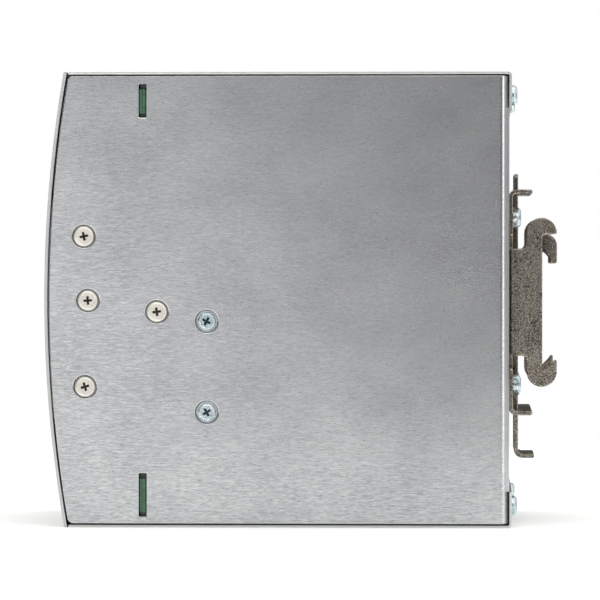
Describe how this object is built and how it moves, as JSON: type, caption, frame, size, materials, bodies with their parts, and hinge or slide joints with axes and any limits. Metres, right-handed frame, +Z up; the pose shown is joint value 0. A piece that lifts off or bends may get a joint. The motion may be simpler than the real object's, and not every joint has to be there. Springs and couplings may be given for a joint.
{
  "type": "din rail power supply",
  "caption": "Slim sheet-metal DIN rail power supply with a bulged front, screw clamp terminals at its front corners and a spring-loaded rail clip at the back.",
  "frame": {"origin": "bottom centre of the overall box, rail clip included", "axes": "+X out of the flat aluminium side wall, -Y out of the bulged front, +Y towards the rail, +Z up"},
  "size_m": [0.0856, 0.1414, 0.1252],
  "materials": {
    "side_aluminium": "bare, finely brushed along the depth",
    "cover_sheet": "bare sheet, satin",
    "front_sheet": "bare sheet, satin",
    "nickel_plate": "bright nickel plate",
    "blue_zinc": "blue-passivated zinc plate",
    "clip_steel": "dull nickel plate, slightly warm and mottled",
    "spring_steel": "drawn wire",
    "block_plastic": "black polyamide",
    "contact_metal": "tinned brass",
    "clamp_steel": "zinc-plated",
    "board_green": "solder mask over glass-epoxy board",
    "insulation_film": "fibre film",
    "trimmer_blue": "moulded",
    "trimmer_white": "moulded",
    "clear_plastic": "clear, slightly green",
    "ferrite": "sintered, matt",
    "winding_tape": "yellow polyester tape",
    "ring_core_green": "coated powder core",
    "copper_wire": "enamelled copper",
    "capacitor_sleeve": "shrink sleeve",
    "film_yellow": "moulded case",
    "epoxy_black": "moulded epoxy",
    "arm_aluminium": "extruded, mill finish",
    "pad_grey": "silicone pad",
    "relay_plastic": "moulded case"
  },
  "bodies": {
    "case": {"chassis": "side_aluminium", "cover": "cover_sheet", "front_panel": "front_sheet", "side_screws_nickel": "nickel_plate", "side_screws_zinc": "blue_zinc", "lip_screws": "nickel_plate", "rail_bracket": "clip_steel", "slider_spring": "spring_steel", "bracket_screws": "blue_zinc", "input_block": "block_plastic", "input_contacts": "contact_metal", "output_block": "block_plastic", "output_contacts": "contact_metal", "alarm_block": "block_plastic", "alarm_contacts": "contact_metal", "terminal_board": "board_green", "main_board": "board_green", "board_pillars": "nickel_plate", "board_screws": "nickel_plate", "insulation_sheet": "insulation_film", "trimmer_body": "trimmer_blue", "light_pipe": "clear_plastic", "transformer_core": "ferrite", "transformer_winding": "winding_tape", "boost_choke_core": "ring_core_green", "boost_choke_winding": "copper_wire", "output_choke_core": "ring_core_green", "output_choke_winding": "copper_wire", "filter_choke": "copper_wire", "bulk_capacitors": "capacitor_sleeve", "output_capacitors": "capacitor_sleeve", "film_capacitors": "film_yellow", "rectifier": "epoxy_black", "primary_heat_arm": "arm_aluminium", "secondary_heat_arm": "arm_aluminium", "power_transistors": "epoxy_black", "thermal_pads": "pad_grey", "relay": "relay_plastic"},
    "rail_catch": {"rail_slider": "clip_steel"},
    "trimmer_rotor": {"trimmer_shaft": "trimmer_white"},
    "input_clamp_screw_1": {"input_screw_1": "clamp_steel"},
    "input_clamp_cage_1": {"input_cage_1": "clamp_steel"},
    "input_clamp_screw_2": {"input_screw_2": "clamp_steel"},
    "input_clamp_cage_2": {"input_cage_2": "clamp_steel"},
    "input_clamp_screw_3": {"input_screw_3": "clamp_steel"},
    "input_clamp_cage_3": {"input_cage_3": "clamp_steel"},
    "output_clamp_screw_1": {"output_screw_1": "clamp_steel"},
    "output_clamp_cage_1": {"output_cage_1": "clamp_steel"},
    "output_clamp_screw_2": {"output_screw_2": "clamp_steel"},
    "output_clamp_cage_2": {"output_cage_2": "clamp_steel"},
    "output_clamp_screw_3": {"output_screw_3": "clamp_steel"},
    "output_clamp_cage_3": {"output_cage_3": "clamp_steel"},
    "output_clamp_screw_4": {"output_screw_4": "clamp_steel"},
    "output_clamp_cage_4": {"output_cage_4": "clamp_steel"},
    "alarm_clamp_screw_1": {"alarm_screw_1": "clamp_steel"},
    "alarm_clamp_cage_1": {"alarm_cage_1": "clamp_steel"},
    "alarm_clamp_screw_2": {"alarm_screw_2": "clamp_steel"},
    "alarm_clamp_cage_2": {"alarm_cage_2": "clamp_steel"}
  },
  "joints": [
    {"name": "rail_release", "type": "slide", "parent": "case", "child": "rail_catch", "axis": [0, 0, 1], "range_m": [0, 0.006], "stiffness_N_per_m": 1500, "springref_m": -0.01, "deforming": ["slider_spring"]},
    {"name": "output_voltage_trim", "type": "hinge", "parent": "case", "child": "trimmer_rotor", "pos_m": [-0.03, -0.0607, 0.078], "axis": [0, 1, 0], "range_deg": [-135, 135]},
    {"name": "input_screw_turn_1", "type": "hinge", "parent": "case", "child": "input_clamp_screw_1", "pos_m": [0.003, -0.0607, 0.1175], "axis": [0, 1, 0], "range_deg": [0, 1440]},
    {"name": "input_cage_lift_1", "type": "slide", "parent": "case", "child": "input_clamp_cage_1", "axis": [0, -1, 0], "range_m": [0, 0.0028]},
    {"name": "input_screw_turn_2", "type": "hinge", "parent": "case", "child": "input_clamp_screw_2", "pos_m": [0.012, -0.0607, 0.1175], "axis": [0, 1, 0], "range_deg": [0, 1440]},
    {"name": "input_cage_lift_2", "type": "slide", "parent": "case", "child": "input_clamp_cage_2", "axis": [0, -1, 0], "range_m": [0, 0.0028]},
    {"name": "input_screw_turn_3", "type": "hinge", "parent": "case", "child": "input_clamp_screw_3", "pos_m": [0.021, -0.0607, 0.1175], "axis": [0, 1, 0], "range_deg": [0, 1440]},
    {"name": "input_cage_lift_3", "type": "slide", "parent": "case", "child": "input_clamp_cage_3", "axis": [0, -1, 0], "range_m": [0, 0.0028]},
    {"name": "output_screw_turn_1", "type": "hinge", "parent": "case", "child": "output_clamp_screw_1", "pos_m": [0.0005, -0.0607, 0.0077], "axis": [0, 1, 0], "range_deg": [0, 1440]},
    {"name": "output_cage_lift_1", "type": "slide", "parent": "case", "child": "output_clamp_cage_1", "axis": [0, -1, 0], "range_m": [0, 0.0028]},
    {"name": "output_screw_turn_2", "type": "hinge", "parent": "case", "child": "output_clamp_screw_2", "pos_m": [0.0095, -0.0607, 0.0077], "axis": [0, 1, 0], "range_deg": [0, 1440]},
    {"name": "output_cage_lift_2", "type": "slide", "parent": "case", "child": "output_clamp_cage_2", "axis": [0, -1, 0], "range_m": [0, 0.0028]},
    {"name": "output_screw_turn_3", "type": "hinge", "parent": "case", "child": "output_clamp_screw_3", "pos_m": [0.0185, -0.0607, 0.0077], "axis": [0, 1, 0], "range_deg": [0, 1440]},
    {"name": "output_cage_lift_3", "type": "slide", "parent": "case", "child": "output_clamp_cage_3", "axis": [0, -1, 0], "range_m": [0, 0.0028]},
    {"name": "output_screw_turn_4", "type": "hinge", "parent": "case", "child": "output_clamp_screw_4", "pos_m": [0.0275, -0.0607, 0.0077], "axis": [0, 1, 0], "range_deg": [0, 1440]},
    {"name": "output_cage_lift_4", "type": "slide", "parent": "case", "child": "output_clamp_cage_4", "axis": [0, -1, 0], "range_m": [0, 0.0028]},
    {"name": "alarm_screw_turn_1", "type": "hinge", "parent": "case", "child": "alarm_clamp_screw_1", "pos_m": [-0.0265, -0.0607, 0.0077], "axis": [0, 1, 0], "range_deg": [0, 1440]},
    {"name": "alarm_cage_lift_1", "type": "slide", "parent": "case", "child": "alarm_clamp_cage_1", "axis": [0, -1, 0], "range_m": [0, 0.0028]},
    {"name": "alarm_screw_turn_2", "type": "hinge", "parent": "case", "child": "alarm_clamp_screw_2", "pos_m": [-0.0175, -0.0607, 0.0077], "axis": [0, 1, 0], "range_deg": [0, 1440]},
    {"name": "alarm_cage_lift_2", "type": "slide", "parent": "case", "child": "alarm_clamp_cage_2", "axis": [0, -1, 0], "range_m": [0, 0.0028]}
  ],
  "couplings": [
    {"joint": "input_screw_turn_1", "follows": "input_cage_lift_1", "rad_per_m": 8975.9},
    {"joint": "input_screw_turn_2", "follows": "input_cage_lift_2", "rad_per_m": 8975.9},
    {"joint": "input_screw_turn_3", "follows": "input_cage_lift_3", "rad_per_m": 8975.9},
    {"joint": "output_screw_turn_1", "follows": "output_cage_lift_1", "rad_per_m": 8975.9},
    {"joint": "output_screw_turn_2", "follows": "output_cage_lift_2", "rad_per_m": 8975.9},
    {"joint": "output_screw_turn_3", "follows": "output_cage_lift_3", "rad_per_m": 8975.9},
    {"joint": "output_screw_turn_4", "follows": "output_cage_lift_4", "rad_per_m": 8975.9},
    {"joint": "alarm_screw_turn_1", "follows": "alarm_cage_lift_1", "rad_per_m": 8975.9},
    {"joint": "alarm_screw_turn_2", "follows": "alarm_cage_lift_2", "rad_per_m": 8975.9}
  ]
}
